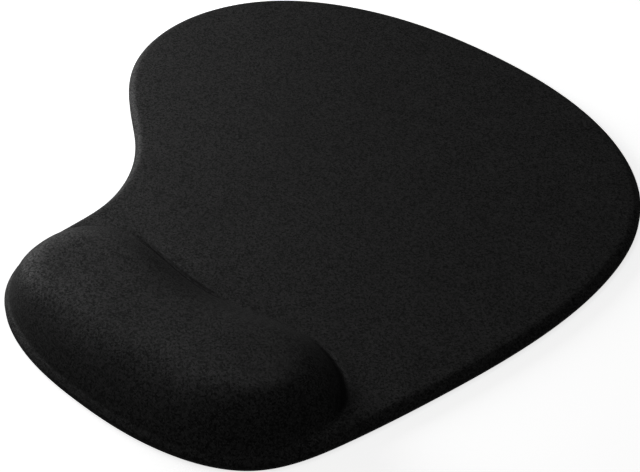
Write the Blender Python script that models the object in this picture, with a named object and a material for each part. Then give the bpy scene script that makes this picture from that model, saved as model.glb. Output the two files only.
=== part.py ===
"""Contoured mouse mat with a built-in gel wrist rest, as the stack of layers it is made of.

Frame: metres, +Z up. +X is the user's right, +Y points away from the user, and the origin is the
middle of the underside. Every layer is a slab between two height functions over one plan shape, so
neighbouring layers follow each other with an even gap.
"""

import math

import bpy
import numpy as np
from mathutils import Vector
from mathutils.geometry import delaunay_2d_cdt

MM = 0.001

# ---- Heights, in metres, from the desk up ----
LAYER_GAP = 0.2 * MM
BASE_THICKNESS = 0.9 * MM
FILM_THICKNESS = 0.12 * MM
COVER_THICKNESS = 0.55 * MM
MAT_TOP = 4.0 * MM
RIM_TOP = 2.0 * MM

# ---- Widths in plan, in metres ----
ROLL_WIDTH = 3.0 * MM
BASE_FILM_INSET = 0.4 * MM
COVER_FILM_INSET = 0.8 * MM
FOAM_INSET = 1.2 * MM
SKIRT_WIDTH = 0.4 * MM
GEL_INSET = 0.9 * MM
PATCH_INSET = 6.0 * MM

# ---- Height above the mat where the gel pouch's rim lies under the rest's wall ----
POUCH_LEVEL = 1.9 * MM

# ---- Plan shapes: points in millimetres, counter-clockwise, on smooth closed curves ----
MAT_OUTLINE = (
    (20, -118.5),
    (54, -115.2),
    (80, -102),
    (93, -75),
    (101, -44),
    (109, 0),
    (109.7, 35),
    (98.5, 74),
    (62, 105.5),
    (0, 118.45),
    (-60, 110),
    (-98, 84.5),
    (-110.8, 46),
    (-101.8, 17.5),
    (-79, -5.5),
    (-55, -26),
    (-44, -50),
    (-44, -79),
    (-35.5, -101),
    (-11, -115),
)
REST_FOOT = (
    (22, -116.7),
    (45.2, -115.1),
    (64.7, -109.9),
    (79.7, -99.1),
    (86.5, -86),
    (86.5, -71),
    (78, -59.5),
    (62, -53.2),
    (44, -54),
    (22, -59),
    (0, -59.2),
    (-20, -57.6),
    (-34, -60.8),
    (-41, -71),
    (-40.6, -86),
    (-33, -101),
    (-12, -112.7),
)

# ---- The wrist rest's crown and walls, in millimetres: place (x, y), crown height above the mat,
# width of the wall that climbs to it, how steeply it starts against its width (2 is a parabola), and
# how softly it leaves the mat (0 crease, 1 fillet) ----
WALL_STATIONS = (
    (-42, -80, 13.5, 11, 2.3, 0.0),
    (-34, -61, 13.5, 40, 1.4, 0.6),
    (-20, -57.6, 14.0, 15, 3.6, 0.0),
    (0, -59.2, 14.0, 12, 3.6, 0.0),
    (18, -59.5, 12.0, 30, 2.5, 0.0),
    (36, -55, 14.5, 26, 2.4, 0.8),
    (60, -53, 13.5, 26, 3.0, 0.0),
    (80, -61, 13.5, 16, 2.3, 0.7),
    (87, -78, 14.0, 10, 2.1, 1.4),
    (73, -103, 14.5, 15, 2.1, 0.2),
    (45, -114, 14.0, 24, 2.0, 0.0),
    (10, -117, 14.5, 28, 3.5, 0.0),
    (-24, -108, 13.5, 11, 3.2, 0.0),
)
STATION_REACH = 16 * MM

# ---- Mesh density ----
OUTLINE_POINTS = 80
FOOT_POINTS = 56
CURVE_SAMPLES = 60
OUTLINE_FINENESS = 8
FOOT_FINENESS = 20
ROLL_RINGS = (0.5 * MM, 1.45 * MM)
ROLL_CLEARANCE = 1.0 * MM
CLIMB_SHARES = (0.3, 0.5, 0.7, 0.88)
CROWN_SHARE = 0.93
CROWN_GRID = 10 * MM
MARCH_LIMIT = 24 * MM
BISECTIONS = 24
TINY = 1e-9
PLAN_ROUNDING = 0.01 * MM


def closed_curve(knots, count):
    """Points evenly spaced along the smooth closed curve (a periodic cubic spline) through the knots."""
    at = np.array(knots, float) * MM
    after = np.roll(at, -1, 0)
    span = np.linalg.norm(after - at, axis=1)
    before = np.roll(span, 1)
    rows = np.arange(len(at))
    system = np.zeros((len(at), len(at)))
    system[rows, rows] = 2 * (span + before)
    system[rows, (rows + 1) % len(at)] += span
    system[rows, rows - 1] += before
    rise = (after - at) / span[:, None]
    bend = np.linalg.solve(system, 6 * (rise - np.roll(rise, 1, 0)))
    u = np.linspace(0, 1, CURVE_SAMPLES, endpoint=False)[None, :, None]
    left = 1 - u
    reach = (span**2 / 6)[:, None, None]
    dense = (
        left * at[:, None]
        + u * after[:, None]
        + reach * (left**3 - left) * bend[:, None]
        + reach * (u**3 - u) * np.roll(bend, -1, 0)[:, None]
    ).reshape(-1, 2)
    ring = np.vstack([dense, dense[:1]])
    length = np.concatenate([[0], np.cumsum(np.linalg.norm(np.diff(ring, axis=0), axis=1))])
    wanted = np.linspace(0, length[-1], count, endpoint=False)
    return np.column_stack([np.interp(wanted, length, ring[:, k]) for k in range(2)])


def inward_normals(ring):
    """Unit vectors across a counter-clockwise ring, pointing into it."""
    along = np.roll(ring, -1, 0) - np.roll(ring, 1, 0)
    along /= np.linalg.norm(along, axis=1)[:, None]
    return np.column_stack([-along[:, 1], along[:, 0]])


def inset(ring, distance):
    return ring + inward_normals(ring) * distance


def is_inside(points, ring):
    """Even-odd test of points against a closed ring."""
    x, y = points[:, :1], points[:, 1:]
    ax, ay = ring[:, 0], ring[:, 1]
    bx, by = np.roll(ax, -1), np.roll(ay, -1)
    spans = (ay > y) != (by > y)
    rise = np.where(np.abs(by - ay) < TINY, TINY, by - ay)
    crosses = spans & (x < ax + (y - ay) / rise * (bx - ax))
    return crosses.sum(1) % 2 == 1


def distance_to(points, ring):
    """Shortest distance from each point to a closed ring."""
    start, step = ring, np.roll(ring, -1, 0) - ring
    gap = points[:, None] - start[None]
    share = np.clip((gap * step).sum(2) / (step**2).sum(1), 0, 1)
    return np.linalg.norm(gap - share[:, :, None] * step[None], axis=2).min(1)


def soft_distance(points, ring):
    """Distance from a ring that stays smooth across the middle of the shape.

    Beside a straight edge it is the true distance: the inverse fourth power of the distance, summed
    along an endless line, is half of pi over the distance cubed.
    """
    step = np.linalg.norm(np.roll(ring, -1, 0) - ring, axis=1)
    square = ((points[:, None] - ring[None]) ** 2).sum(2) + TINY**2
    total = (step / square**2).sum(1) * 2 / math.pi
    return total ** (-1 / 3)


FINE_OUTLINE = closed_curve(MAT_OUTLINE, OUTLINE_FINENESS * OUTLINE_POINTS)
FINE_FOOT = closed_curve(REST_FOOT, FOOT_FINENESS * FOOT_POINTS)


def wall_shape(points):
    """Crown height, wall width (both in metres), steepness and softness at each place."""
    stations = np.array(WALL_STATIONS, float)
    square = ((points[:, None] - stations[None, :, :2] * MM) ** 2).sum(2)
    nearest = square.min(1, keepdims=True)
    weight = np.exp((nearest - square) / (2 * STATION_REACH**2))
    crown, width, steepness, softness = (weight @ stations[:, 2:] / weight.sum(1, keepdims=True)).T
    return crown * MM, width * MM, steepness, softness


def crown_height(points):
    return wall_shape(points)[0]


def rest_height(points):
    """Height of the wrist rest above the mat's top."""
    crown, width, steepness, softness = wall_shape(points)
    climb = np.clip(soft_distance(points, FINE_FOOT) / width, 0, 1)
    share = (1 - (1 - climb) ** steepness) ** (1 + softness)
    return np.where(is_inside(points, FINE_FOOT), crown * share, 0)


def cover_top(points):
    """The cover's outer surface: the flat mat, rolled down at the rim, with the wrist rest on it."""
    roll = np.clip(distance_to(points, FINE_OUTLINE) / ROLL_WIDTH, 0, 1)
    mat = RIM_TOP + (MAT_TOP - RIM_TOP) * np.sin(roll * math.pi / 2)
    return mat + rest_height(points)


def below_cover(depth):
    """The surface that lies `depth` under the cover's outer surface."""
    return lambda points: cover_top(points) - depth


def flat(height):
    return lambda points: np.full(len(points), height)


# ---- Where each layer starts and ends: depths under the cover's outer surface, and heights ----
COVER_FILM_TOP = COVER_THICKNESS + LAYER_GAP
COVER_FILM_BOTTOM = COVER_FILM_TOP + FILM_THICKNESS
UNDER_COVER_FILM = COVER_FILM_BOTTOM + LAYER_GAP
POUCH_SKIN_BOTTOM = UNDER_COVER_FILM + FILM_THICKNESS
GEL_TOP = POUCH_SKIN_BOTTOM + LAYER_GAP

BASE_FILM_BOTTOM = BASE_THICKNESS + LAYER_GAP
BASE_FILM_TOP = BASE_FILM_BOTTOM + FILM_THICKNESS
FOAM_BOTTOM = BASE_FILM_TOP + LAYER_GAP
FOAM_TOP = MAT_TOP - UNDER_COVER_FILM
PATCH_BOTTOM = FOAM_TOP + LAYER_GAP
PATCH_TOP = PATCH_BOTTOM + FILM_THICKNESS
POUCH_FLOOR_BOTTOM = PATCH_TOP + LAYER_GAP
POUCH_FLOOR_TOP = POUCH_FLOOR_BOTTOM + FILM_THICKNESS
GEL_BOTTOM = POUCH_FLOOR_TOP + LAYER_GAP


# ---- Plan rings and points ----
OUTLINE = FINE_OUTLINE[::OUTLINE_FINENESS]
OUTLINE_NORMALS = inward_normals(FINE_OUTLINE)[::OUTLINE_FINENESS]
FOOT = FINE_FOOT[::FOOT_FINENESS]
FOOT_NORMALS = inward_normals(FINE_FOOT)[::FOOT_FINENESS]


def rim_rings(*distances):
    """Rings that follow the mat's outline, each at its distance inside it."""
    return [OUTLINE + OUTLINE_NORMALS * distance for distance in distances]


def roll_end_points():
    """Points where the rolled rim meets the flat mat, away from the wrist rest."""
    (ring,) = rim_rings(ROLL_WIDTH)
    on_mat = ~is_inside(ring, FINE_FOOT) & (distance_to(ring, FINE_FOOT) > ROLL_CLEARANCE)
    return ring[on_mat]


def level_ring(height_of):
    """The ring inside the rest's foot where its surface reaches the wanted height at each point."""
    low = np.zeros(len(FOOT))
    high = np.full(len(FOOT), MARCH_LIMIT)
    for _ in range(BISECTIONS):
        middle = (low + high) / 2
        at = FOOT + FOOT_NORMALS * middle[:, None]
        short = rest_height(at) < height_of(at)
        low = np.where(short, middle, low)
        high = np.where(short, high, middle)
    return FOOT + FOOT_NORMALS * low[:, None]


def climb_rings():
    """Rings up the rest's wall, each at its share of the crown's height."""
    return [level_ring(lambda at, s=share: s * crown_height(at)) for share in CLIMB_SHARES]


def crown_points():
    """A sparse grid over the rest's crown."""
    low, high = FINE_FOOT.min(0), FINE_FOOT.max(0)
    xs = np.arange(low[0], high[0], CROWN_GRID)
    ys = np.arange(low[1], high[1], CROWN_GRID)
    grid = np.array([(x, y) for x in xs for y in ys])
    return grid[rest_height(grid) > CROWN_SHARE * crown_height(grid)]


# ---- Solids ----
def triangulated(rings, loose):
    """Plan points and triangles that fill the first ring and follow the edges of all the rings."""
    points = np.vstack([*rings, loose])
    edges = []
    first = 0
    for ring in rings:
        count = len(ring)
        edges += [(first + i, first + (i + 1) % count) for i in range(count)]
        first += count
    placed, _, faces, _, _, _ = delaunay_2d_cdt(
        [Vector(p) for p in points / MM], edges, [range(len(rings[0]))], 1, TINY
    )
    return np.array([tuple(p) for p in placed]) * MM, [tuple(face) for face in faces]


def slab(name, rings, bottom, top, material, loose=()):
    """A closed solid over the plan inside the first ring, between two height functions."""
    plan, faces = triangulated(rings, np.reshape(loose, (-1, 2)))
    count = len(plan)
    vertices = [(*p, z) for z_of in (top, bottom) for p, z in zip(plan, z_of(plan))]
    sides = {(a, b) for face in faces for a, b in zip(face, face[1:] + face[:1])}
    rim = sorted((a, b) for a, b in sides if (b, a) not in sides)
    polygons = list(faces)
    polygons += [tuple(count + i for i in reversed(face)) for face in faces]
    polygons += [(a, count + a, count + b, b) for a, b in rim]
    mesh = bpy.data.meshes.new(name)
    mesh.from_pydata(vertices, [], polygons)
    mesh.materials.append(material)
    piece = bpy.data.objects.new(name, mesh)
    bpy.context.scene.collection.objects.link(piece)
    return piece


def layer_material(name, colour, roughness, sheen=0.0, transmission=0.0):
    material = bpy.data.materials.new(name)
    material.use_nodes = True
    shader = material.node_tree.nodes["Principled BSDF"]
    shader.inputs["Base Color"].default_value = (*colour, 1)
    shader.inputs["Roughness"].default_value = roughness
    shader.inputs["Metallic"].default_value = 0
    shader.inputs["Sheen Weight"].default_value = sheen
    shader.inputs["Transmission Weight"].default_value = transmission
    return material


# ---- The layers, from the desk up ----
def make_non_slip_base():
    rubber = layer_material("base_rubber", (0.02, 0.02, 0.021), 0.75)
    slab("non_slip_base", rim_rings(0), flat(0), flat(BASE_THICKNESS), rubber)


def make_base_bond_film():
    adhesive = layer_material("base_adhesive", (0.75, 0.72, 0.62), 0.45)
    film_bottom, film_top = flat(BASE_FILM_BOTTOM), flat(BASE_FILM_TOP)
    slab("base_bond_film", rim_rings(BASE_FILM_INSET), film_bottom, film_top, adhesive)


def make_foam_mat(roll_end):
    """The mat's foam: flat under the pouch, and rolled down at the rim with the cover."""

    def foam_top(points):
        return np.minimum(cover_top(points) - UNDER_COVER_FILM, FOAM_TOP)

    foam = layer_material("mat_foam", (0.06, 0.06, 0.062), 0.9)
    rings = [*rim_rings(FOAM_INSET, ROLL_RINGS[1]), FOOT]
    slab("foam_mat", rings, flat(FOAM_BOTTOM), foam_top, foam, roll_end)


def make_pouch_adhesive_patch(pouch):
    adhesive = layer_material("patch_adhesive", (0.82, 0.80, 0.72), 0.4)
    patch = [inset(pouch, PATCH_INSET)]
    slab("pouch_adhesive_patch", patch, flat(PATCH_BOTTOM), flat(PATCH_TOP), adhesive)


def make_pouch_bottom_film(pouch):
    film = layer_material("pouch_floor", (0.55, 0.60, 0.66), 0.25)
    slab("pouch_bottom_film", [pouch], flat(POUCH_FLOOR_BOTTOM), flat(POUCH_FLOOR_TOP), film)


def make_gel_core(pouch, climb, crown):
    gel = layer_material("gel", (0.20, 0.42, 0.62), 0.15, transmission=0.6)
    rings = [inset(pouch, GEL_INSET), *climb]
    slab("gel_core", rings, flat(GEL_BOTTOM), below_cover(GEL_TOP), gel, crown)


def make_pouch_top_film(pouch, climb, crown):
    """The pouch's domed skin: its rim turns down to stand on the pouch's floor."""
    skirt = inset(pouch, SKIRT_WIDTH)

    def underside(points):
        domed = cover_top(points) - POUCH_SKIN_BOTTOM
        at_rim = np.minimum(distance_to(points, pouch), distance_to(points, skirt)) < PLAN_ROUNDING
        return np.where(at_rim, GEL_BOTTOM, domed)

    film = layer_material("pouch_skin", (0.55, 0.60, 0.66), 0.25)
    rings = [pouch, skirt, inset(pouch, GEL_INSET), *climb]
    slab("pouch_top_film", rings, underside, below_cover(UNDER_COVER_FILM), film, crown)


def make_cover_bond_film(pouch, climb, loose):
    adhesive = layer_material("cover_adhesive", (0.70, 0.68, 0.60), 0.5)
    rings = [*rim_rings(COVER_FILM_INSET, ROLL_RINGS[1]), FOOT, pouch, inset(pouch, GEL_INSET), *climb]
    film_bottom, film_top = below_cover(COVER_FILM_BOTTOM), below_cover(COVER_FILM_TOP)
    slab("cover_bond_film", rings, film_bottom, film_top, adhesive, loose)


def make_cover_fabric(pouch, climb, loose):
    """The knit cover: at the mat's edge it turns down to the base and closes the sandwich."""

    def underside(points):
        at_edge = distance_to(points, OUTLINE) < PLAN_ROUNDING
        return np.where(at_edge, BASE_FILM_BOTTOM, cover_top(points) - COVER_THICKNESS)

    knit = layer_material("cover_knit", (0.015, 0.015, 0.016), 0.95, sheen=0.3)
    rings = [*rim_rings(0, *ROLL_RINGS), FOOT, pouch, inset(pouch, GEL_INSET), *climb]
    slab("cover_fabric", rings, underside, cover_top, knit, loose)


def main():
    for old in list(bpy.data.objects):
        bpy.data.objects.remove(old)

    climb = climb_rings()
    crown = crown_points()
    pouch = level_ring(flat(POUCH_LEVEL))
    roll_end = roll_end_points()
    roll_and_crown = np.vstack([roll_end, crown])

    make_non_slip_base()
    make_base_bond_film()
    make_foam_mat(roll_end)
    make_pouch_adhesive_patch(pouch)
    make_pouch_bottom_film(pouch)
    make_gel_core(pouch, climb, crown)
    make_pouch_top_film(pouch, climb, crown)
    make_cover_bond_film(pouch, climb, roll_and_crown)
    make_cover_fabric(pouch, climb, roll_and_crown)


main()
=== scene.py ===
import math

import bpy
import numpy as np
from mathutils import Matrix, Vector
from mathutils.geometry import delaunay_2d_cdt


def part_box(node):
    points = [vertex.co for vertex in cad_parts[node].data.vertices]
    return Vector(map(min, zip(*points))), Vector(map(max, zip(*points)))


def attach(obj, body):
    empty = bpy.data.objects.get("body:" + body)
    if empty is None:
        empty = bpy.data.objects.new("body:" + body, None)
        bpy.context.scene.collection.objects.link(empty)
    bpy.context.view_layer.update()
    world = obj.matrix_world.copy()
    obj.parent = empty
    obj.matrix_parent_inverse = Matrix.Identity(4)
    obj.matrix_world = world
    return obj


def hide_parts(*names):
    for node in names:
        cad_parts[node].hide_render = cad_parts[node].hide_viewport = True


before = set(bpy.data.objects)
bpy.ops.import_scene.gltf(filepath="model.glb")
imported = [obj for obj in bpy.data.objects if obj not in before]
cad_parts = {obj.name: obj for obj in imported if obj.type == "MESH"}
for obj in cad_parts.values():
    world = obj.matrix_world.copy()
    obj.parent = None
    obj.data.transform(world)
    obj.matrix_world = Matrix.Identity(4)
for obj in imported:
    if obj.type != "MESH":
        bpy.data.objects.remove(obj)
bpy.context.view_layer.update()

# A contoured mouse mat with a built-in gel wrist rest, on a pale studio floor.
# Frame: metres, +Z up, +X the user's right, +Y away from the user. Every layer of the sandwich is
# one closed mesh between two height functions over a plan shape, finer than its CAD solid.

MM = 0.001

# ---- Heights, taken from the frame where a CAD node gives them ----
BASE_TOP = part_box("non_slip_base")[1].z
FOAM_BOTTOM, FOAM_TOP = (corner.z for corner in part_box("foam_mat"))
GEL_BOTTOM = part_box("gel_core")[0].z
LAYER_GAP = 0.2 * MM
FILM_THICKNESS = 0.12 * MM
COVER_THICKNESS = 0.55 * MM
MAT_TOP = 4.0 * MM
RIM_TOP = 2.0 * MM
LIP_BOTTOM = BASE_TOP + 0.1 * MM

# ---- Depths of the layers under the cover's outer surface ----
COVER_FILM_TOP = COVER_THICKNESS + LAYER_GAP
COVER_FILM_BOTTOM = COVER_FILM_TOP + FILM_THICKNESS
UNDER_COVER_FILM = COVER_FILM_BOTTOM + LAYER_GAP
POUCH_SKIN_BOTTOM = UNDER_COVER_FILM + FILM_THICKNESS
GEL_TOP = POUCH_SKIN_BOTTOM + LAYER_GAP

# ---- Widths in plan ----
ROLL_WIDTH = 3.0 * MM
ROLL_RING_SHARE = 0.72
COVER_FILM_INSET = 0.8 * MM
FOAM_INSET = 1.2 * MM
SKIRT_WIDTH = 0.4 * MM
GEL_INSET = 0.9 * MM
POUCH_LEVEL = 1.9 * MM

# ---- Plan shapes, in millimetres, counter-clockwise: the knots of smooth closed curves ----
MAT_OUTLINE = (
    (20, -118.5),
    (54, -115.2),
    (80, -102),
    (93, -75),
    (101, -44),
    (109, 0),
    (109.7, 35),
    (98.5, 74),
    (62, 105.5),
    (0, 118.45),
    (-60, 110),
    (-98, 84.5),
    (-110.8, 46),
    (-101.8, 17.5),
    (-79, -5.5),
    (-55, -26),
    (-44, -50),
    (-44, -79),
    (-35.5, -101),
    (-11, -115),
)
REST_FOOT = (
    (22, -116.7),
    (45.2, -115.1),
    (64.7, -109.9),
    (79.7, -99.1),
    (86.5, -86),
    (86.5, -71),
    (78, -59.5),
    (62, -53.2),
    (44, -54),
    (22, -59),
    (0, -59.2),
    (-20, -57.6),
    (-34, -60.8),
    (-41, -71),
    (-40.6, -86),
    (-33, -101),
    (-12, -112.7),
)

# ---- The wrist rest, in millimetres: place (x, y), crown height above the mat, width of the wall
# that climbs to it, how steeply it starts (2 is a parabola), how softly it leaves the mat ----
WALL_STATIONS = (
    (-42, -80, 13.5, 11, 2.3, 0.0),
    (-34, -61, 13.5, 40, 1.4, 0.6),
    (-20, -57.6, 14.0, 15, 3.6, 0.0),
    (0, -59.2, 14.0, 12, 3.6, 0.0),
    (18, -59.5, 12.0, 30, 2.5, 0.0),
    (36, -55, 14.5, 26, 2.4, 0.8),
    (60, -53, 13.5, 26, 3.0, 0.0),
    (80, -61, 13.5, 16, 2.3, 0.7),
    (87, -78, 14.0, 10, 2.1, 1.4),
    (73, -103, 14.5, 15, 2.1, 0.2),
    (45, -114, 14.0, 24, 2.0, 0.0),
    (10, -117, 14.5, 28, 3.5, 0.0),
    (-24, -108, 13.5, 11, 3.2, 0.0),
)
STATION_REACH = 16 * MM

# ---- The pinched crease where the cover is pressed down behind the rest ----
CREASE_DEPTH = 1.15 * MM
CREASES = (
    # middle (x, y), reach along the foot, distance outside the foot, how much that distance
    # changes for each millimetre in x, half width; all in millimetres
    (1, -59, 22, 1.5, -0.045, 0.95),
    (77, -58, 17, -1.3, 0.0, 1.6),
)
CREASE_FADE_POWER = 4
PAINTED_SHADE = "painted_shade"  # the cover's own attribute: painted shade, how much the knit's colour is darkened in and around the crease to stand for its shadow
# Painted shade: how dark the knit is made in the crease, the share of that shade in the band around
# it, how far the band spreads, and which attribute values are darkened.
PAINTED_SHADE_DARKENING = 0.93
PAINTED_SHADE_BAND_SHARE = 0.45
PAINTED_SHADE_BAND_SPREAD = 4.0
PAINTED_SHADE_RANGE = (0.1, 0.7)

# ---- The pressed pattern under the base: recesses between the points that touch the desk ----
GRIP_DEPTH = 0.3 * MM
GRIP_SPACING = 1.8 * MM
GRIP_RIM_CLEARANCE = 2.0 * MM

# ---- Mesh density ----
CURVE_SAMPLES = 60
OUTLINE_POINTS = 600
FOOT_POINTS = 340
FINENESS = 2
RIM_STEPS = (0.12 * MM, 0.3 * MM, 0.6 * MM, 1.0 * MM, 1.5 * MM)
FOOT_STEPS = (0.2 * MM, 0.45 * MM, 0.9 * MM, 1.6 * MM, 2.5 * MM, 3.6 * MM, 5.0 * MM)
OUTER_STEPS = tuple(step * MM for step in (0.4, 0.8, 1.2, 1.6, 2.0, 2.4, 2.8, 3.4))
DOME_GRID = 1.3 * MM
MAT_GRID = 3.0 * MM
MARCH_LIMIT = 24 * MM
BISECTIONS = 24
CHUNK = 2000
TINY = 1e-9
PLAN_ROUNDING = 0.01 * MM
LOOSE_RIM_CLEARANCE = RIM_STEPS[-1] + 0.5 * MM
SHARP_ANGLE = math.radians(50)

# ---- The knit ----
WALE = 0.52 * MM
COURSE = 0.44 * MM
YARN_SPECK = 0.5 * MM
KNIT_COLOUR = (0.02, 0.02, 0.02)
WOBBLE_SIZE = 4 * MM
WOBBLE_SHIFT = 0.5 * MM
LOOP_SLANT = 0.5
LOOP_ROUNDNESS = 2.4
NOISE_RANGE = (0.3, 0.7)  # where most of a noise's values lie


# =============================== Plan curves and distances ===============================
def closed_curve(knots, count):
    """Points evenly spaced along the closed curve, a periodic cubic spline, through the knots."""
    at = np.array(knots, float) * MM
    after = np.roll(at, -1, 0)
    span = np.linalg.norm(after - at, axis=1)
    before = np.roll(span, 1)
    rows = np.arange(len(at))
    system = np.zeros((len(at), len(at)))
    system[rows, rows] = 2 * (span + before)
    system[rows, (rows + 1) % len(at)] += span
    system[rows, rows - 1] += before
    rise = (after - at) / span[:, None]
    bend = np.linalg.solve(system, 6 * (rise - np.roll(rise, 1, 0)))
    u = np.linspace(0, 1, CURVE_SAMPLES, endpoint=False)[None, :, None]
    left = 1 - u
    reach = (span**2 / 6)[:, None, None]
    dense = (
        left * at[:, None]
        + u * after[:, None]
        + reach * (left**3 - left) * bend[:, None]
        + reach * (u**3 - u) * np.roll(bend, -1, 0)[:, None]
    ).reshape(-1, 2)
    ring = np.vstack([dense, dense[:1]])
    length = np.concatenate([[0], np.cumsum(np.linalg.norm(np.diff(ring, axis=0), axis=1))])
    wanted = np.linspace(0, length[-1], count, endpoint=False)
    return np.column_stack([np.interp(wanted, length, ring[:, k]) for k in range(2)])


def inward_normals(ring):
    along = np.roll(ring, -1, 0) - np.roll(ring, 1, 0)
    along /= np.linalg.norm(along, axis=1)[:, None]
    return np.column_stack([-along[:, 1], along[:, 0]])


def inset(ring, distance):
    return ring + inward_normals(ring) * distance


def in_chunks(measure):
    """Runs a measure of many points a few at a time, to keep its tables small."""

    def run(points, *others):
        parts = [measure(points[i : i + CHUNK], *others) for i in range(0, len(points), CHUNK)]
        return np.concatenate(parts) if parts else np.zeros(0)

    return run


@in_chunks
def is_inside(points, ring):
    """Even-odd test of points against a closed ring."""
    x, y = points[:, :1], points[:, 1:]
    ax, ay = ring[:, 0], ring[:, 1]
    bx, by = np.roll(ax, -1), np.roll(ay, -1)
    spans = (ay > y) != (by > y)
    rise = np.where(np.abs(by - ay) < TINY, TINY, by - ay)
    crosses = spans & (x < ax + (y - ay) / rise * (bx - ax))
    return crosses.sum(1) % 2 == 1


@in_chunks
def distance_to(points, ring):
    """Shortest distance from each point to a closed ring."""
    start, step = ring, np.roll(ring, -1, 0) - ring
    gap = points[:, None] - start[None]
    share = np.clip((gap * step).sum(2) / (step**2).sum(1), 0, 1)
    return np.linalg.norm(gap - share[:, :, None] * step[None], axis=2).min(1)


@in_chunks
def soft_distance(points, ring):
    """Distance from a ring that stays smooth across the middle of the shape, where the plain
    shortest distance has a ridge."""
    step = np.linalg.norm(np.roll(ring, -1, 0) - ring, axis=1)
    square = ((points[:, None] - ring[None]) ** 2).sum(2) + TINY**2
    total = (step / square**2).sum(1) * 2 / math.pi
    return total ** (-1 / 3)


FINE_OUTLINE = closed_curve(MAT_OUTLINE, FINENESS * OUTLINE_POINTS)
FINE_FOOT = closed_curve(REST_FOOT, 2 * FINENESS * FOOT_POINTS)
OUTLINE = FINE_OUTLINE[::FINENESS]
OUTLINE_NORMALS = inward_normals(FINE_OUTLINE)[::FINENESS]
FOOT = FINE_FOOT[:: 2 * FINENESS]
FOOT_NORMALS = inward_normals(FINE_FOOT)[:: 2 * FINENESS]


# =============================== The outer surface ===============================
KNOWN_HEIGHTS = {}


def wall_shape(points):
    """Crown height, wall width (both in metres), steepness and softness at each place."""
    stations = np.array(WALL_STATIONS, float)
    square = ((points[:, None] - stations[None, :, :2] * MM) ** 2).sum(2)
    nearest = square.min(1, keepdims=True)
    weight = np.exp((nearest - square) / (2 * STATION_REACH**2))
    crown, width, steepness, softness = (weight @ stations[:, 2:] / weight.sum(1, keepdims=True)).T
    return crown * MM, width * MM, steepness, softness


def rest_height(points):
    """Height of the wrist rest above the mat's top."""
    crown, width, steepness, softness = wall_shape(points)
    climb = np.clip(soft_distance(points, FINE_FOOT) / width, 0, 1)
    share = (1 - (1 - climb) ** steepness) ** (1 + softness)
    return np.where(is_inside(points, FINE_FOOT), crown * share, 0)


def crease_share(points, spread=1.0):
    """How close each place is to a pinched stretch of the foot: 1 in its middle, 0 far away."""
    outside = np.where(is_inside(points, FINE_FOOT), -1, 1) * distance_to(points, FINE_FOOT)
    share = np.zeros(len(points))
    for x, y, reach, offset, drift, half_width in CREASES:
        from_middle = np.linalg.norm(points - np.array([x, y]) * MM, axis=1)
        fade = np.exp(-((from_middle / (reach * MM)) ** CREASE_FADE_POWER))
        middle = offset * MM + drift * (points[:, 0] - x * MM)
        near = np.exp(-(((outside - middle) / (spread * half_width * MM)) ** 2))
        share = np.maximum(share, fade * near)
    return share


def painted_crease_shade(points):
    """How much painted shade darkens the knit: fully in the crease, less in a band around it."""
    band = PAINTED_SHADE_BAND_SHARE * crease_share(points, PAINTED_SHADE_BAND_SPREAD)
    return np.maximum(crease_share(points), band)


def cover_top(points):
    """The cover's outer surface: the flat mat, rolled down at the rim, with the wrist rest on it."""
    key = points.tobytes()
    if key not in KNOWN_HEIGHTS:
        KNOWN_HEIGHTS[key] = measured_cover_top(points)
    return KNOWN_HEIGHTS[key]


def measured_cover_top(points):
    roll = np.clip(distance_to(points, FINE_OUTLINE) / ROLL_WIDTH, 0, 1)
    mat = RIM_TOP + (MAT_TOP - RIM_TOP) * np.sin(roll * math.pi / 2)
    return mat + rest_height(points) - CREASE_DEPTH * crease_share(points)


def below_cover(depth):
    return lambda points: cover_top(points) - depth


def flat(height):
    return lambda points: np.full(len(points), height)


# =============================== Plan rings and points ===============================
def rim_rings(*distances):
    return [OUTLINE + OUTLINE_NORMALS * distance for distance in distances]


def foot_rings(*distances):
    return [FOOT + FOOT_NORMALS * distance for distance in distances]


def level_ring(height):
    """The ring inside the rest's foot where its surface is this high above the mat."""
    low = np.zeros(len(FOOT))
    high = np.full(len(FOOT), MARCH_LIMIT)
    for _ in range(BISECTIONS):
        middle = (low + high) / 2
        short = rest_height(FOOT + FOOT_NORMALS * middle[:, None]) < height
        low = np.where(short, middle, low)
        high = np.where(short, high, middle)
    return FOOT + FOOT_NORMALS * low[:, None]


def staggered_grid(spacing):
    """Rows of points over the whole mat, every second row shifted by half a step."""
    low, high = FINE_OUTLINE.min(0), FINE_OUTLINE.max(0)
    rows = np.arange(low[1], high[1], spacing * math.sqrt(3) / 2)
    columns = np.arange(low[0], high[0], spacing)
    return np.array([(x + (i % 2) * spacing / 2, y) for i, y in enumerate(rows) for x in columns])


def surface_points(rim_clearance):
    """Loose points of the cover's plan: close together on the rest, wider apart on the flat mat."""
    last_step = FOOT_STEPS[-1]
    dome = staggered_grid(DOME_GRID)
    dome = dome[is_inside(dome, FINE_FOOT)]
    dome = dome[distance_to(dome, FINE_FOOT) > last_step + DOME_GRID / 2]
    beside = np.vstack(foot_rings(*(-step for step in OUTER_STEPS)))
    mat = staggered_grid(MAT_GRID)
    mat = mat[~is_inside(mat, FINE_FOOT)]
    mat = mat[distance_to(mat, FINE_FOOT) > OUTER_STEPS[-1] + MAT_GRID / 2]
    roll = np.vstack(rim_rings(ROLL_WIDTH * ROLL_RING_SHARE, ROLL_WIDTH))
    roll = roll[~is_inside(roll, FINE_FOOT)]
    roll = roll[distance_to(roll, FINE_FOOT) > OUTER_STEPS[-1] + MAT_GRID / 4]
    outside = np.vstack([beside, mat])
    outside = outside[is_inside(outside, FINE_OUTLINE)]
    return np.vstack([dome, outside[distance_to(outside, FINE_OUTLINE) > rim_clearance], roll])


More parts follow.
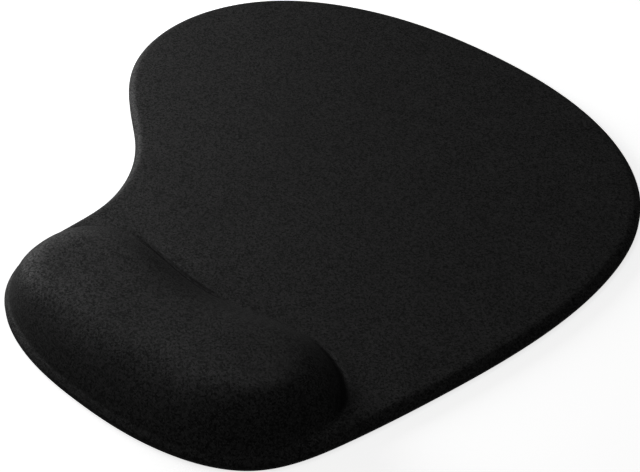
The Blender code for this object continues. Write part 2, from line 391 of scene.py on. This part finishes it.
# =============================== Meshes ===============================
def triangulated(rings, loose):
    """Plan points and triangles that fill the first ring and follow the edges of all the rings."""
    points = np.vstack([*rings, loose])
    edges = []
    first = 0
    for ring in rings:
        count = len(ring)
        edges += [(first + i, first + (i + 1) % count) for i in range(count)]
        first += count
    placed, _, faces, _, _, _ = delaunay_2d_cdt(
        [Vector(p) for p in points / MM], edges, [range(len(rings[0]))], 1, TINY
    )
    return np.array([tuple(p) for p in placed]) * MM, [tuple(face) for face in faces]


def slab(name, rings, bottom, top, loose=()):
    """A closed solid over the plan inside the first ring, between two height functions."""
    plan, faces = triangulated(rings, np.reshape(loose, (-1, 2)))
    count = len(plan)
    vertices = [(*p, z) for z_of in (top, bottom) for p, z in zip(plan, z_of(plan))]
    sides = {(a, b) for face in faces for a, b in zip(face, face[1:] + face[:1])}
    rim = sorted((a, b) for a, b in sides if (b, a) not in sides)
    polygons = list(faces)
    polygons += [tuple(count + i for i in reversed(face)) for face in faces]
    polygons += [(a, count + a, count + b, b) for a, b in rim]
    mesh = bpy.data.meshes.new(name)
    mesh.from_pydata(vertices, [], polygons)
    mesh.shade_smooth()
    mesh.set_sharp_from_angle(angle=SHARP_ANGLE)
    piece = bpy.data.objects.new(name, mesh)
    bpy.context.scene.collection.objects.link(piece)
    return piece


# =============================== Materials ===============================
def new_material(name):
    """A node material with a Principled shader: returns it, its node tree and the shader."""
    material = bpy.data.materials.new(name)
    material.use_nodes = True
    tree = material.node_tree
    return material, tree, tree.nodes["Principled BSDF"]


def node(tree, kind, **settings):
    made = tree.nodes.new(kind)
    for key, value in settings.items():
        setattr(made, key, value)
    return made


def link(tree, source, target):
    tree.links.new(source, target)


def plug(tree, target, value):
    """Puts a number or another node's output into an input socket."""
    if isinstance(value, (int, float)):
        target.default_value = value
    else:
        link(tree, value, target)


def maths(tree, operation, a, b=0.0, c=None):
    """One step of arithmetic on numbers or node outputs; c is what MULTIPLY_ADD adds."""
    made = node(tree, "ShaderNodeMath", operation=operation)
    plug(tree, made.inputs[0], a)
    plug(tree, made.inputs[1], b)
    if c is not None:
        plug(tree, made.inputs[2], c)
    return made.outputs[0]


def ranged(tree, value, low, high, to_low, to_high):
    """A value between low and high, carried over to another range and held inside it."""
    made = node(tree, "ShaderNodeMapRange", clamp=True)
    plug(tree, made.inputs["Value"], value)
    limits = {"From Min": low, "From Max": high, "To Min": to_low, "To Max": to_high}
    for key, number in limits.items():
        made.inputs[key].default_value = number
    return made.outputs["Result"]


def from_noise(tree, value, to_low, to_high):
    """A noise's usual values, stretched over this range."""
    return ranged(tree, value, *NOISE_RANGE, to_low, to_high)


def object_place(tree):
    return node(tree, "ShaderNodeTexCoord").outputs["Object"]


def noise(tree, place, feature, detail=2.0, stretch=None, output="Fac"):
    """Noise with features about this size, in metres; stretch scales the place along each axis."""
    if stretch is not None:
        squeeze = node(tree, "ShaderNodeMapping")
        link(tree, place, squeeze.inputs["Vector"])
        squeeze.inputs["Scale"].default_value = stretch
        place = squeeze.outputs["Vector"]
    made = node(tree, "ShaderNodeTexNoise")
    link(tree, place, made.inputs["Vector"])
    made.inputs["Scale"].default_value = 1 / feature
    made.inputs["Detail"].default_value = detail
    return made.outputs[output]


def cells(tree, place, size, output="Distance"):
    """Random cells about this size, in metres: the distance inside each, or its own Color."""
    made = node(tree, "ShaderNodeTexVoronoi")
    link(tree, place, made.inputs["Vector"])
    made.inputs["Scale"].default_value = 1 / size
    return made.outputs[output]


def tinted(tree, colour, factor):
    """A colour multiplied by a changing factor."""
    made = node(tree, "ShaderNodeVectorMath", operation="SCALE")
    made.inputs[0].default_value = colour
    link(tree, factor, made.inputs["Scale"])
    return made.outputs["Vector"]


def bumped(tree, height, depth, below=None):
    """A bump normal: height 0 to 1 stands for that depth in metres."""
    made = node(tree, "ShaderNodeBump")
    link(tree, height, made.inputs["Height"])
    made.inputs["Distance"].default_value = depth
    if below is not None:
        link(tree, below, made.inputs["Normal"])
    return made.outputs["Normal"]


def knit_stitches(tree, place):
    """Height of the knit's loops, 0 to 1: columns of small V shapes, a little wavy."""
    shift = node(tree, "ShaderNodeVectorMath", operation="MULTIPLY_ADD")
    link(tree, noise(tree, place, WOBBLE_SIZE, output="Color"), shift.inputs[0])
    shift.inputs[1].default_value = (WOBBLE_SHIFT,) * 3
    link(tree, place, shift.inputs[2])
    split = node(tree, "ShaderNodeSeparateXYZ")
    link(tree, shift.outputs["Vector"], split.inputs["Vector"])

    across = maths(tree, "DIVIDE", split.outputs["X"], WALE)
    along = maths(tree, "DIVIDE", split.outputs["Y"], COURSE)
    in_column = maths(tree, "FRACT", across)
    off_centre = maths(tree, "ABSOLUTE", maths(tree, "MULTIPLY_ADD", in_column, 2.0, -1.0))
    slanted = maths(tree, "MULTIPLY_ADD", off_centre, LOOP_SLANT, along)
    rounded = maths(tree, "SUBTRACT", 1.0, maths(tree, "POWER", off_centre, LOOP_ROUNDNESS))
    wave = maths(tree, "SINE", maths(tree, "MULTIPLY", slanted, math.pi))
    loop_height = maths(tree, "MULTIPLY_ADD", maths(tree, "ABSOLUTE", wave), 0.6, 0.4)
    return maths(tree, "MULTIPLY", rounded, loop_height)


def knit_material():
    """Black stretch knit: small loops, with fibre fuzz and uneven yarn, and painted shade darkening
    it in and around the crease behind the rest.
    """
    material, tree, shader = new_material("black_stretch_knit")
    place = object_place(tree)
    stitch = knit_stitches(tree, place)
    separate = node(tree, "ShaderNodeSeparateColor")
    link(tree, cells(tree, place, YARN_SPECK, "Color"), separate.inputs["Color"])
    speck = separate.outputs["Red"]
    fuzz = noise(tree, place, 0.22 * MM, 3.0)
    courses = noise(tree, place, 1.6 * MM, 2.0, stretch=(0.08, 1.0, 0.5))
    mottle = noise(tree, place, 14 * MM, 3.0)

    painted_shade = node(tree, "ShaderNodeAttribute", attribute_name=PAINTED_SHADE).outputs["Fac"]

    light_and_dark = maths(tree, "MULTIPLY", ranged(tree, stitch, 0, 1, 0.75, 1.1),
                           ranged(tree, speck, 0, 1, 0.2, 1.9))
    yarn = maths(tree, "MULTIPLY", from_noise(tree, fuzz, 0.55, 1.45),
                 from_noise(tree, courses, 0.92, 1.08))
    factor = maths(tree, "MULTIPLY", maths(tree, "MULTIPLY", light_and_dark, yarn),
                   from_noise(tree, mottle, 0.9, 1.1))
    # Painted shade: the knit's colour is darkened in and around the crease to stand in for its
    # shadow.
    painted_darkening = ranged(tree, painted_shade, *PAINTED_SHADE_RANGE, 1, 1 - PAINTED_SHADE_DARKENING)
    factor = maths(tree, "MULTIPLY", factor, painted_darkening)
    link(tree, tinted(tree, KNIT_COLOUR, factor), shader.inputs["Base Color"])
    link(tree, ranged(tree, speck, 0, 1, 0.78, 0.5), shader.inputs["Roughness"])
    shader.inputs["Specular IOR Level"].default_value = 0.12
    shader.inputs["Sheen Weight"].default_value = 0.015
    shader.inputs["Sheen Roughness"].default_value = 0.45
    shader.inputs["Sheen Tint"].default_value = (1.0, 1.0, 1.0, 1.0)

    soft = bumped(tree, mottle, 0.15 * MM)
    lumpy = bumped(tree, speck, 0.03 * MM, soft)
    fibre = bumped(tree, fuzz, 0.06 * MM, lumpy)
    link(tree, bumped(tree, stitch, 0.03 * MM, fibre), shader.inputs["Normal"])
    return material


def rubber_material():
    """Black soft foam rubber with fine pores and slightly dusty high spots."""
    material, tree, shader = new_material("black_grip_rubber")
    place = object_place(tree)
    pores = cells(tree, place, 0.35 * MM)
    grain = noise(tree, place, 0.5 * MM, 4.0)
    patches = noise(tree, place, 18 * MM, 3.0)
    factor = maths(tree, "MULTIPLY", ranged(tree, pores, 0, 0.5, 0.6, 1.2),
                   from_noise(tree, patches, 0.82, 1.22))
    link(tree, tinted(tree, (0.021, 0.021, 0.022), factor), shader.inputs["Base Color"])
    link(tree, from_noise(tree, grain, 0.6, 0.85), shader.inputs["Roughness"])
    shader.inputs["Specular IOR Level"].default_value = 0.35
    rough = bumped(tree, grain, 0.05 * MM)
    link(tree, bumped(tree, pores, 0.04 * MM, rough), shader.inputs["Normal"])
    return material


def foam_material():
    """Dark grey closed-cell foam."""
    material, tree, shader = new_material("dark_cell_foam")
    place = object_place(tree)
    bubbles = cells(tree, place, 0.45 * MM)
    shade = ranged(tree, bubbles, 0, 0.6, 0.55, 1.3)
    link(tree, tinted(tree, (0.06, 0.06, 0.063), shade), shader.inputs["Base Color"])
    link(tree, ranged(tree, bubbles, 0, 0.6, 0.8, 0.98), shader.inputs["Roughness"])
    link(tree, bumped(tree, bubbles, 0.12 * MM), shader.inputs["Normal"])
    return material


def gel_material():
    """Clear blue soft gel with faint clouding."""
    material, tree, shader = new_material("soft_blue_gel")
    place = object_place(tree)
    cloud = noise(tree, place, 12 * MM, 4.0)
    shade = from_noise(tree, cloud, 0.8, 1.15)
    link(tree, tinted(tree, (0.16, 0.38, 0.62), shade), shader.inputs["Base Color"])
    link(tree, from_noise(tree, cloud, 0.08, 0.2), shader.inputs["Roughness"])
    shader.inputs["Transmission Weight"].default_value = 0.7
    shader.inputs["IOR"].default_value = 1.41
    link(tree, bumped(tree, noise(tree, place, 3 * MM, 2.0), 0.1 * MM), shader.inputs["Normal"])
    return material


def film_material(name, colour, roughness, wrinkle):
    """A thin film: milky or clear, with a faint wrinkle."""
    material, tree, shader = new_material(name)
    place = object_place(tree)
    wrinkles = noise(tree, place, wrinkle, 3.0)
    speck = noise(tree, place, 0.8 * MM, 2.0)
    shade = maths(tree, "MULTIPLY", from_noise(tree, wrinkles, 0.9, 1.08),
                  from_noise(tree, speck, 0.96, 1.04))
    link(tree, tinted(tree, colour, shade), shader.inputs["Base Color"])
    gloss = from_noise(tree, wrinkles, roughness * 0.8, roughness * 1.2)
    link(tree, gloss, shader.inputs["Roughness"])
    link(tree, bumped(tree, wrinkles, 0.06 * MM), shader.inputs["Normal"])
    return material


FILMS = {
    "adhesive_film": film_material("clear_bond_film", (0.75, 0.75, 0.72), 0.35, 2.5 * MM),
    "pouch_film": film_material("milky_pouch_film", (0.55, 0.60, 0.66), 0.25, 6.0 * MM),
}


def dress(piece, material, node_name):
    """Gives a finished piece its material and its place in the frame."""
    piece.data.materials.append(material)
    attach(piece, "root")
    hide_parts(node_name)
    return piece


# =============================== The layers, from the desk up ===============================
def grip_underside(points):
    """The base's underside: on a square grid, every second point is pressed in."""
    row_and_column = np.rint(points / GRIP_SPACING).sum(1)
    clear = distance_to(points, FINE_OUTLINE) > GRIP_RIM_CLEARANCE
    return np.where(clear & (row_and_column % 2 == 1), GRIP_DEPTH, 0)


def make_base():
    """The soft rubber base, flat on top and pressed into a grip pattern underneath."""
    low = np.floor(FINE_OUTLINE.min(0) / GRIP_SPACING)
    high = np.ceil(FINE_OUTLINE.max(0) / GRIP_SPACING)
    columns, rows = (np.arange(low[k], high[k]) for k in range(2))
    grid = np.array([(x, y) for y in rows for x in columns]) * GRIP_SPACING
    grid = grid[is_inside(grid, FINE_OUTLINE)]
    grid = grid[distance_to(grid, FINE_OUTLINE) > GRIP_RIM_CLEARANCE]
    rings = rim_rings(0, GRIP_RIM_CLEARANCE / 2)
    piece = slab("grip_base", rings, grip_underside, flat(BASE_TOP), grid)
    return dress(piece, rubber_material(), "non_slip_base")


def make_foam(loose):
    """The foam sheet: flat, squeezed at the rolled rim and under the crease."""

    def foam_top(points):
        return np.minimum(cover_top(points) - UNDER_COVER_FILM, FOAM_TOP)

    rings = [*rim_rings(FOAM_INSET, RIM_STEPS[-1]), *foot_rings(0, *FOOT_STEPS)]
    piece = slab("foam_sheet", rings, flat(FOAM_BOTTOM), foam_top, loose)
    dress(piece, foam_material(), "foam_mat")
    return piece


def points_within(ring, loose):
    """Of the cover's plan points, those inside a ring and clear of it."""
    beside_foot = np.vstack(foot_rings(*FOOT_STEPS))
    points = np.vstack([beside_foot, loose])
    points = points[is_inside(points, ring)]
    return points[distance_to(points, ring) > SKIRT_WIDTH]


def make_gel(pouch, loose):
    """The gel that fills the pouch and gives the wrist rest its dome."""
    edge = inset(pouch, GEL_INSET)
    points = points_within(edge, loose)
    piece = slab("gel_pad", [edge], flat(GEL_BOTTOM), below_cover(GEL_TOP), points)
    dress(piece, gel_material(), "gel_core")
    return piece


def make_pouch_skin(pouch, loose):
    """The pouch's domed skin: its rim turns down to stand on the pouch's floor."""
    skirt = inset(pouch, SKIRT_WIDTH)

    def underside(points):
        domed = cover_top(points) - POUCH_SKIN_BOTTOM
        at_rim = np.minimum(distance_to(points, pouch), distance_to(points, skirt)) < PLAN_ROUNDING
        return np.where(at_rim, GEL_BOTTOM, domed)

    points = points_within(skirt, loose)
    piece = slab("pouch_skin", [pouch, skirt], underside, below_cover(UNDER_COVER_FILM), points)
    return dress(piece, FILMS["pouch_film"], "pouch_top_film")


def make_cover_film(loose):
    """The bond film that holds the cover down on the foam and the pouch."""
    rings = [*rim_rings(COVER_FILM_INSET, *RIM_STEPS[-2:]), *foot_rings(0, *FOOT_STEPS)]
    bottom, top = below_cover(COVER_FILM_BOTTOM), below_cover(COVER_FILM_TOP)
    piece = slab("cover_film", rings, bottom, top, loose)
    return dress(piece, FILMS["adhesive_film"], "cover_bond_film")


def dress_kept_films():
    """The flat films keep their CAD solids and take a film material."""
    for name, slot_name in (
        ("base_bond_film", "adhesive_film"),
        ("pouch_adhesive_patch", "adhesive_film"),
        ("pouch_bottom_film", "pouch_film"),
    ):
        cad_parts[name].material_slots[0].material = FILMS[slot_name]


def make_cover(loose):
    """The knit cover, with a thin lip that turns down over the edge of the films."""

    def underside(points):
        at_rim = distance_to(points, FINE_OUTLINE) < PLAN_ROUNDING
        return np.where(at_rim, LIP_BOTTOM, cover_top(points) - COVER_THICKNESS)

    rings = [*rim_rings(0, *RIM_STEPS), *foot_rings(0, *FOOT_STEPS)]
    piece = slab("knit_cover", rings, underside, cover_top, loose)
    # The painted shade of the crease is stored on the cover as a point attribute.
    places = np.array([vertex.co[:2] for vertex in piece.data.vertices])
    painted_shade = piece.data.attributes.new(PAINTED_SHADE, "FLOAT", "POINT")
    painted_shade.data.foreach_set("value", painted_crease_shade(places))
    dress(piece, knit_material(), "cover_fabric")
    return piece


# =============================== Studio ===============================
# Azimuths and elevations are in degrees: azimuth 0 is in front of the mat, 90 on its right.
CAMERA_AZIMUTH = 42
CAMERA_ELEVATION = 40
CAMERA_DISTANCE = 0.518
CAMERA_TARGET = Vector((0.0254, -0.0133, 0.0037))
CAMERA_LENS = 85
FLOOR_SIZE = 6.0
FLOOR_DROP = 0.05 * MM
LAMP_TARGET = Vector((0, -0.03, 0))
LAMP_DISTANCE = 0.45
LAMPS = (
    # name, azimuth, elevation, width and height in metres, power in watts
    ("left_softbox", 271, 18, (0.3, 0.22), 1.6),
    ("back_left_softbox", 240, 9, (0.12, 0.12), 0.04),
    ("top_softbox", 260, 70, (0.2, 0.2), 0.22),
    ("front_softbox", 0, 32, (0.16, 0.12), 0.05),
)
WORLD_STRENGTH = 0.082


def direction(azimuth, elevation):
    """The unit vector from the mat towards a place around it."""
    turn, lift = math.radians(azimuth), math.radians(elevation)
    return Vector((
        math.sin(turn) * math.cos(lift),
        -math.cos(turn) * math.cos(lift),
        math.sin(lift),
    ))


def aimed(thing, place, target):
    """Puts a camera or lamp at a place, turned to face its target."""
    thing.location = place
    thing.rotation_mode = "QUATERNION"
    thing.rotation_quaternion = (Vector(target) - Vector(place)).to_track_quat("-Z", "Y")
    bpy.context.scene.collection.objects.link(thing)
    return thing


def make_camera():
    back = direction(CAMERA_AZIMUTH, CAMERA_ELEVATION)
    lens = bpy.data.cameras.new("camera")
    lens.lens = CAMERA_LENS
    lens.clip_start = 0.01
    camera = bpy.data.objects.new("camera", lens)
    aimed(camera, CAMERA_TARGET + back * CAMERA_DISTANCE, CAMERA_TARGET)
    bpy.context.scene.camera = camera


def make_light(name, azimuth, elevation, size, power):
    """A soft rectangular lamp aimed at the rest."""
    lamp = bpy.data.lights.new(name, "AREA")
    lamp.shape = "RECTANGLE"
    lamp.size, lamp.size_y = size
    lamp.energy = power
    place = LAMP_TARGET + direction(azimuth, elevation) * LAMP_DISTANCE
    aimed(bpy.data.objects.new(name, lamp), place, LAMP_TARGET)


def make_floor():
    """The pale floor. It lights up by itself and throws no light back on the mat."""
    half = FLOOR_SIZE / 2
    mesh = bpy.data.meshes.new("studio_floor")
    corners = [(-half, -half), (half, -half), (half, half), (-half, half)]
    mesh.from_pydata([(x, y, -FLOOR_DROP) for x, y in corners], [], [(0, 1, 2, 3)])
    floor = bpy.data.objects.new("studio_floor", mesh)
    bpy.context.scene.collection.objects.link(floor)
    material, _, shader = new_material("pale_floor")
    shader.inputs["Base Color"].default_value = (0.86, 0.86, 0.86, 1)
    shader.inputs["Roughness"].default_value = 0.9
    shader.inputs["Emission Color"].default_value = (1, 1, 1, 1)
    shader.inputs["Emission Strength"].default_value = 0.75
    mesh.materials.append(material)
    floor.visible_diffuse = False
    floor.visible_glossy = False


def make_studio():
    make_camera()
    make_floor()
    for name, azimuth, elevation, size, power in LAMPS:
        make_light(name, azimuth, elevation, size, power)
    world = bpy.data.worlds.new("studio")
    world.use_nodes = True
    background = world.node_tree.nodes["Background"]
    background.inputs["Color"].default_value = (1, 1, 1, 1)
    background.inputs["Strength"].default_value = WORLD_STRENGTH
    bpy.context.scene.world = world
    bpy.context.scene.view_settings.view_transform = "Standard"


make_studio()
dress_kept_films()
make_base()
cover_points = surface_points(LOOSE_RIM_CLEARANCE)
pouch_outline = level_ring(POUCH_LEVEL)
make_foam(cover_points)
make_gel(pouch_outline, cover_points)
make_pouch_skin(pouch_outline, cover_points)
make_cover_film(cover_points)
make_cover(cover_points)
